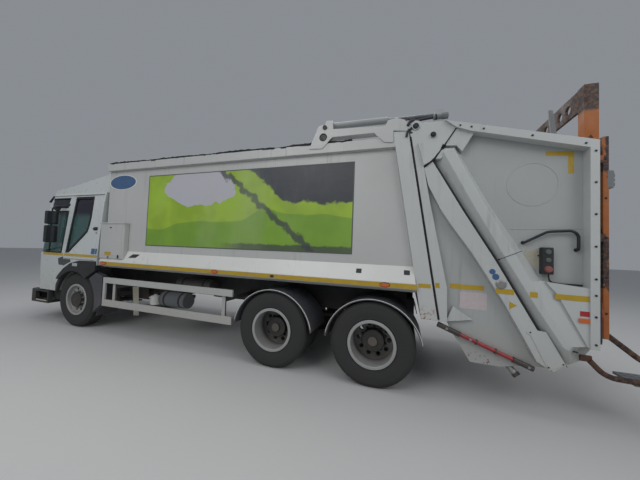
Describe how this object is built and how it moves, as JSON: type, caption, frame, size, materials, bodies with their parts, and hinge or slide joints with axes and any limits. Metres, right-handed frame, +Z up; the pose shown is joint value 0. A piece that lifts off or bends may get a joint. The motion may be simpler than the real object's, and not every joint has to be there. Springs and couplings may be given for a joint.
{
  "type": "rear-loading garbage truck",
  "caption": "Rear-loading garbage truck with a low cab, closed body with an ejector, a lifting tailgate with packer and a raised bin lift.",
  "frame": {"origin": "on the ground under the middle of the whole truck", "axes": "+X forward to the cab, +Y to the truck's left, +Z up"},
  "size_m": [10.2498, 2.85, 3.665],
  "materials": {
    "frame_black": "dusty satin",
    "cast_metal": "oily",
    "black_plastic": "matt",
    "tinted_glass": "tinted",
    "body_white": "dull, dirty",
    "cab_white": "satin",
    "seat_fabric": "woven",
    "lift_orange": "chipped",
    "dark_steel": "rusty",
    "worn_steel": "scraped",
    "ram_grey": "satin",
    "ram_chrome": "polished",
    "tyre_rubber": "dusty",
    "wheel_grey": "dull"
  },
  "bodies": {
    "chassis": {"chassis_frame": "frame_black", "front_axle": "frame_black", "rear_axles": "frame_black", "engine_block": "cast_metal", "front_bumper": "black_plastic", "tow_sockets": "cast_metal", "headlamps": "tinted_glass", "mudguards": "frame_black", "side_guards": "body_white", "tanks": "frame_black", "body_shell": "body_white", "rear_frame": "body_white", "roof_arms": "body_white", "locker_box": "body_white"},
    "cab": {"cab_shell": "cab_white", "cab_glass": "tinted_glass", "seats": "seat_fabric", "dashboard": "black_plastic", "steering_wheel": "black_plastic", "sun_visor": "black_plastic", "mirrors": "black_plastic", "arch_flares": "black_plastic"},
    "door_left": {"door_left": "cab_white", "door_glass_left": "tinted_glass"},
    "door_right": {"door_right": "cab_white", "door_glass_right": "tinted_glass"},
    "knuckle_left": {"knuckle_left": "cast_metal"},
    "knuckle_right": {"knuckle_right": "cast_metal"},
    "front_wheel_left": {"front_tyre_left": "tyre_rubber", "front_rim_left": "wheel_grey"},
    "front_wheel_right": {"front_tyre_right": "tyre_rubber", "front_rim_right": "wheel_grey"},
    "ejector": {"ejector_panel": "worn_steel"},
    "tailgate": {"tailgate_shell": "body_white", "ram_covers": "body_white", "mast_posts": "lift_orange", "footboards": "dark_steel", "side_fittings": "dark_steel"},
    "packer_carriage": {"packer_carriage": "worn_steel"},
    "packer_blade": {"packer_blade": "worn_steel"},
    "bin_lift": {"bin_lift": "lift_orange"},
    "lift_barrels": {"lift_barrels": "ram_grey"},
    "lift_rods": {"lift_rods": "ram_chrome"},
    "middle_wheels_left": {"middle_tyres_left": "tyre_rubber", "middle_rims_left": "wheel_grey"},
    "middle_wheels_right": {"middle_tyres_right": "tyre_rubber", "middle_rims_right": "wheel_grey"},
    "rear_wheels_left": {"rear_tyres_left": "tyre_rubber", "rear_rims_left": "wheel_grey"},
    "rear_wheels_right": {"rear_tyres_right": "tyre_rubber", "rear_rims_right": "wheel_grey"}
  },
  "joints": [
    {"name": "cab_tilt", "type": "hinge", "parent": "chassis", "child": "cab", "pos_m": [4.855, 0, 0.7], "axis": [0, 1, 0], "range_deg": [0, 50]},
    {"name": "door_left_swing", "type": "hinge", "parent": "cab", "child": "door_left", "pos_m": [3.933, 1.225, 1.9], "axis": [0, 0, -1], "range_deg": [0, 75]},
    {"name": "door_right_swing", "type": "hinge", "parent": "cab", "child": "door_right", "pos_m": [3.933, -1.225, 1.9], "axis": [0, 0, 1], "range_deg": [0, 75]},
    {"name": "steer_left", "type": "hinge", "parent": "chassis", "child": "knuckle_left", "pos_m": [3.581, 0.9, 0.525], "axis": [0, 0, 1], "range_deg": [-38, 38]},
    {"name": "front_spin_left", "type": "hinge", "parent": "knuckle_left", "child": "front_wheel_left", "pos_m": [3.581, 1.03, 0.525], "axis": [0, 1, 0], "continuous": true},
    {"name": "middle_spin_left", "type": "hinge", "parent": "chassis", "child": "middle_wheels_left", "pos_m": [-0.725, 0.935, 0.525], "axis": [0, 1, 0], "continuous": true},
    {"name": "rear_spin_left", "type": "hinge", "parent": "chassis", "child": "rear_wheels_left", "pos_m": [-2.115, 0.935, 0.525], "axis": [0, 1, 0], "continuous": true},
    {"name": "steer_right", "type": "hinge", "parent": "chassis", "child": "knuckle_right", "pos_m": [3.581, -0.9, 0.525], "axis": [0, 0, 1], "range_deg": [-38, 38]},
    {"name": "front_spin_right", "type": "hinge", "parent": "knuckle_right", "child": "front_wheel_right", "pos_m": [3.581, -1.03, 0.525], "axis": [0, 1, 0], "continuous": true},
    {"name": "middle_spin_right", "type": "hinge", "parent": "chassis", "child": "middle_wheels_right", "pos_m": [-0.725, -0.935, 0.525], "axis": [0, 1, 0], "continuous": true},
    {"name": "rear_spin_right", "type": "hinge", "parent": "chassis", "child": "rear_wheels_right", "pos_m": [-2.115, -0.935, 0.525], "axis": [0, 1, 0], "continuous": true},
    {"name": "eject", "type": "slide", "parent": "chassis", "child": "ejector", "axis": [-1, 0, 0], "range_m": [0, 4.3]},
    {"name": "tailgate_lift", "type": "hinge", "parent": "chassis", "child": "tailgate", "pos_m": [-2.57, 0, 3.222], "axis": [0, 1, 0], "range_deg": [0, 80]},
    {"name": "packer_slide", "type": "slide", "parent": "tailgate", "child": "packer_carriage", "axis": [-0.5105, 0, -0.8599], "range_m": [0, 0.75]},
    {"name": "packer_sweep", "type": "hinge", "parent": "packer_carriage", "child": "packer_blade", "pos_m": [-3.29209, 0, 1.96489], "axis": [0, -1, 0], "range_deg": [-19, 80]},
    {"name": "bin_lift_slide", "type": "slide", "parent": "tailgate", "child": "bin_lift", "axis": [0, 0, -1], "range_m": [0, 1.8]},
    {"name": "ram_swing", "type": "hinge", "parent": "chassis", "child": "lift_barrels", "pos_m": [-1.425, 0, 3.459], "axis": [0, 1, 0], "range_deg": [0, 7]},
    {"name": "ram_stroke", "type": "slide", "parent": "lift_barrels", "child": "lift_rods", "axis": [0.9999, 0, 0.0134], "range_m": [0, 0.5]}
  ],
  "couplings": [
    {"joint": "steer_right", "follows": "steer_left", "ratio": 1},
    {"joint": "ram_swing", "follows": "tailgate_lift", "ratio": 0.062},
    {"joint": "ram_stroke", "follows": "tailgate_lift", "m_per_rad": 0.3148}
  ]
}
